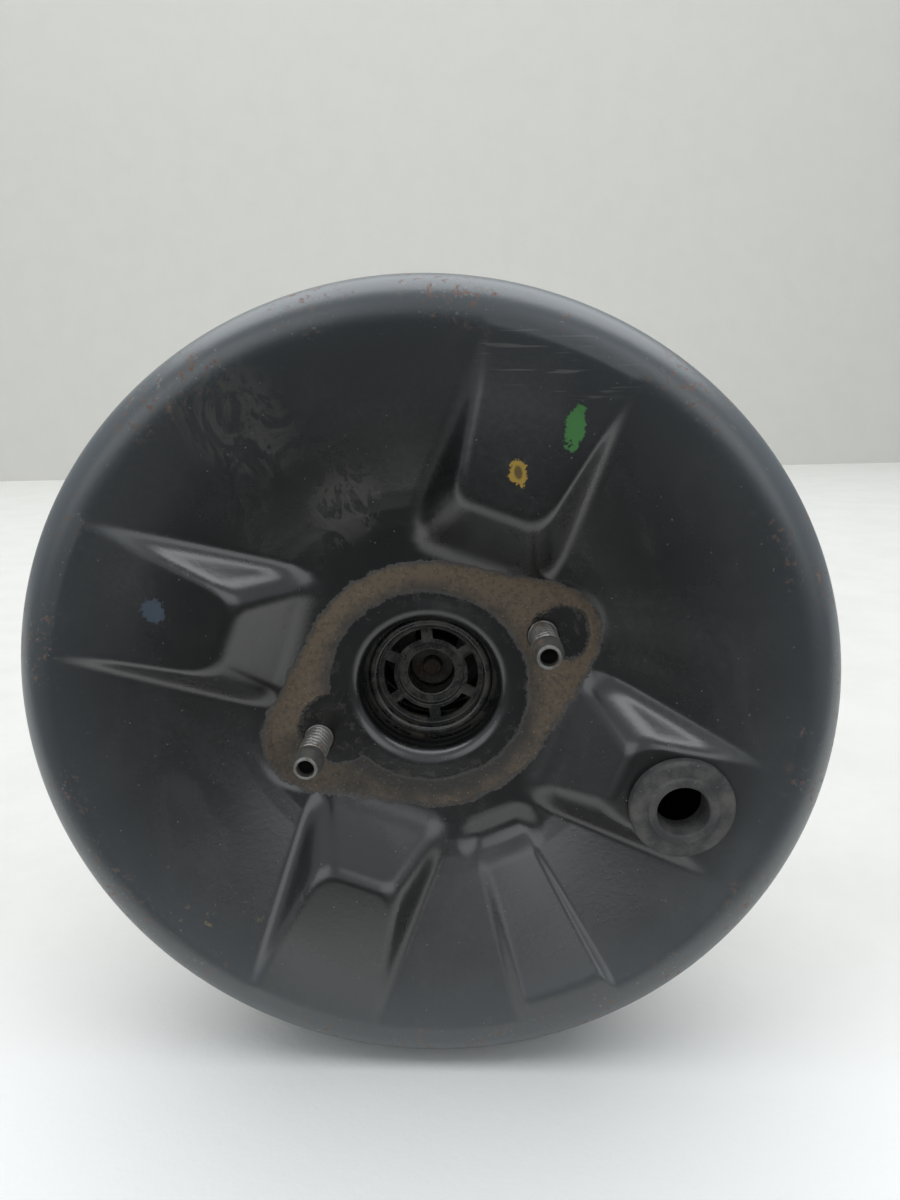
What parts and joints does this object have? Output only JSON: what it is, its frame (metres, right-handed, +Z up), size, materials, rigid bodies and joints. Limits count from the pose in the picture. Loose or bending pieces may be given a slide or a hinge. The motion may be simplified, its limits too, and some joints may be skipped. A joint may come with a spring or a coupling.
{
  "type": "brake booster",
  "caption": "Single-diaphragm vacuum brake booster: crimped steel shells, dished front with raised pads, sprung valve body, ball-jointed input rod and clevis.",
  "frame": {"origin": "on the booster's axis, in the plane of the steel bulkhead face, at the centre of the four bulkhead studs", "axes": "-Y along the axis towards the master cylinder, +Y towards the pedal, +X to the right and +Z up when looking at the front face"},
  "size_m": [0.268, 0.2315, 0.268],
  "materials": {
    "black_paint": "semi-gloss black enamel with dust, scuffs and rust specks on the rim",
    "stud_steel": "grey rolled steel, dirty",
    "plated_steel": "zinc-plated pressed steel",
    "spring_steel": "oiled spring wire",
    "rusty_steel": "machined steel with a skin of rust",
    "brass": "turned brass",
    "black_rubber": "satin moulded rubber",
    "grommet_rubber": "dusty moulded rubber",
    "black_plastic": "moulded nylon with dust",
    "phenolic": "brown filled phenolic",
    "felt": "pressed felt",
    "foam": "open-cell foam"
  },
  "bodies": {
    "housing": {"front_shell": "black_paint", "front_plate": "plated_steel", "mc_studs": "stud_steel", "check_valve_grommet": "grommet_rubber", "guide_ring": "black_plastic", "return_spring": "spring_steel", "diaphragm": "black_rubber", "rear_shell": "black_paint", "rear_stud_plate": "plated_steel", "bulkhead_studs": "stud_steel", "bulkhead_gasket": "foam", "rear_bearing": "phenolic", "rear_seal": "black_rubber", "bearing_retainer": "spring_steel", "dust_boot": "black_rubber"},
    "piston": {"diaphragm_plate": "plated_steel", "spring_seat_cup": "plated_steel", "valve_body": "phenolic", "reaction_disc": "black_rubber", "output_rod": "plated_steel", "output_rod_screw": "rusty_steel", "stop_key": "spring_steel", "control_poppet": "black_rubber", "poppet_retainer": "plated_steel", "poppet_spring": "spring_steel", "input_return_spring": "spring_steel", "air_silencer": "felt", "air_filter": "foam"},
    "air_valve": {"plunger": "brass"},
    "poppet": {"poppet_ring": "plated_steel"},
    "pushrod": {"input_rod": "stud_steel", "spring_collar": "plated_steel", "clevis_lock_nut": "plated_steel", "clevis": "plated_steel"}
  },
  "joints": [
    {"name": "piston_slide", "type": "slide", "parent": "housing", "child": "piston", "axis": [0, -1, 0], "range_m": [0, 0.03], "stiffness_N_per_m": 4000, "deforming": ["return_spring", "diaphragm", "dust_boot"]},
    {"name": "plunger_slide", "type": "slide", "parent": "piston", "child": "air_valve", "axis": [0, -1, 0], "range_m": [0, 0.002], "stiffness_N_per_m": 2500, "deforming": ["input_return_spring"]},
    {"name": "poppet_slide", "type": "slide", "parent": "piston", "child": "poppet", "axis": [0, -1, 0], "range_m": [0, 0.0008], "deforming": ["control_poppet", "poppet_spring"]},
    {"name": "rod_tilt", "type": "hinge", "parent": "air_valve", "child": "pushrod", "pos_m": [0, 0.009, 0], "axis": [1, 0, 0], "range_deg": [-3, 3], "stiffness_Nm_per_rad": 8}
  ],
  "couplings": [
    {"joint": "poppet_slide", "follows": "plunger_slide", "ratio": 0.4}
  ]
}
